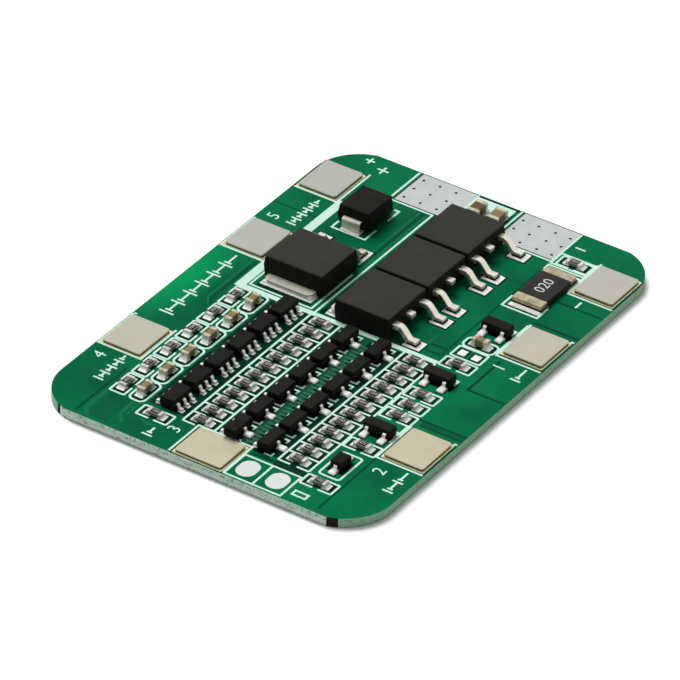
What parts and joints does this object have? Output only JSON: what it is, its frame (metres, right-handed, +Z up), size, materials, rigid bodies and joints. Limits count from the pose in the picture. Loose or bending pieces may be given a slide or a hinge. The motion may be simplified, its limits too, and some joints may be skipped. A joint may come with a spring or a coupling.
{
  "type": "battery management board",
  "caption": "Small green circuit board with nickel weld tabs round its edges, load lands, moulded power switches, a shunt and rows of cell circuits.",
  "frame": {"origin": "centre of the board's underside", "axes": "+X along the short edge, +Y along the long edge towards the load lands, +Z up through the components"},
  "size_m": [0.036, 0.0524, 0.0033],
  "materials": {
    "masked_laminate": "green solder mask over glass-epoxy laminate",
    "nickel_sheet": "satin nickel-plated sheet",
    "gold_plated_land": "immersion gold, pale",
    "tinned_land": "levelled solder, satin",
    "tin_plated_metal": "matt tin plating",
    "moulding_compound": "matt black epoxy moulding compound",
    "glazed_alumina": "black glaze over white alumina",
    "capacitor_ceramic": "fired tan ceramic",
    "coated_alloy": "black coating over resistance alloy"
  },
  "bodies": {
    "root": {"bias_resistors": "glazed_alumina", "bleed_transistor_1": "moulding_compound", "bleed_transistor_2": "moulding_compound", "bleed_transistor_3": "moulding_compound", "bleed_transistor_4": "moulding_compound", "bleed_transistor_5": "moulding_compound", "bleed_transistor_6": "moulding_compound", "bleed_transistor_legs": "tin_plated_metal", "cell_monitor_1": "moulding_compound", "cell_monitor_2": "moulding_compound", "cell_monitor_3": "moulding_compound", "cell_monitor_4": "moulding_compound", "cell_monitor_5": "moulding_compound", "cell_monitor_6": "moulding_compound", "cell_monitor_legs": "tin_plated_metal", "ceramic_capacitors": "capacitor_ceramic", "chip_end_caps": "tin_plated_metal", "circuit_board": "masked_laminate", "clamp_diode": "moulding_compound", "clamp_diode_terminals": "tin_plated_metal", "current_shunt": "coated_alloy", "current_shunt_terminals": "tin_plated_metal", "driver_transistor_1": "moulding_compound", "driver_transistor_2": "moulding_compound", "driver_transistor_3": "moulding_compound", "driver_transistor_legs": "tin_plated_metal", "filter_resistors": "glazed_alumina", "gate_resistors": "glazed_alumina", "load_land_negative": "tinned_land", "load_land_positive": "tinned_land", "package_lands": "tinned_land", "power_switch_1": "moulding_compound", "power_switch_1_frame": "tin_plated_metal", "power_switch_2": "moulding_compound", "power_switch_2_frame": "tin_plated_metal", "power_switch_3": "moulding_compound", "power_switch_3_frame": "tin_plated_metal", "power_switch_4": "moulding_compound", "power_switch_4_frame": "tin_plated_metal", "sense_resistors": "glazed_alumina", "sensor_lands": "tinned_land", "shift_transistor_1": "moulding_compound", "shift_transistor_2": "moulding_compound", "shift_transistor_3": "moulding_compound", "shift_transistor_4": "moulding_compound", "shift_transistor_5": "moulding_compound", "shift_transistor_6": "moulding_compound", "shift_transistor_legs": "tin_plated_metal", "signal_diode": "moulding_compound", "signal_diode_legs": "tin_plated_metal", "tab_lands": "gold_plated_land", "weld_tab_cell_1": "nickel_sheet", "weld_tab_cell_2": "nickel_sheet", "weld_tab_cell_3": "nickel_sheet", "weld_tab_cell_4": "nickel_sheet", "weld_tab_cell_5": "nickel_sheet", "weld_tab_negative": "nickel_sheet", "weld_tab_positive": "nickel_sheet"}
  },
  "joints": []
}
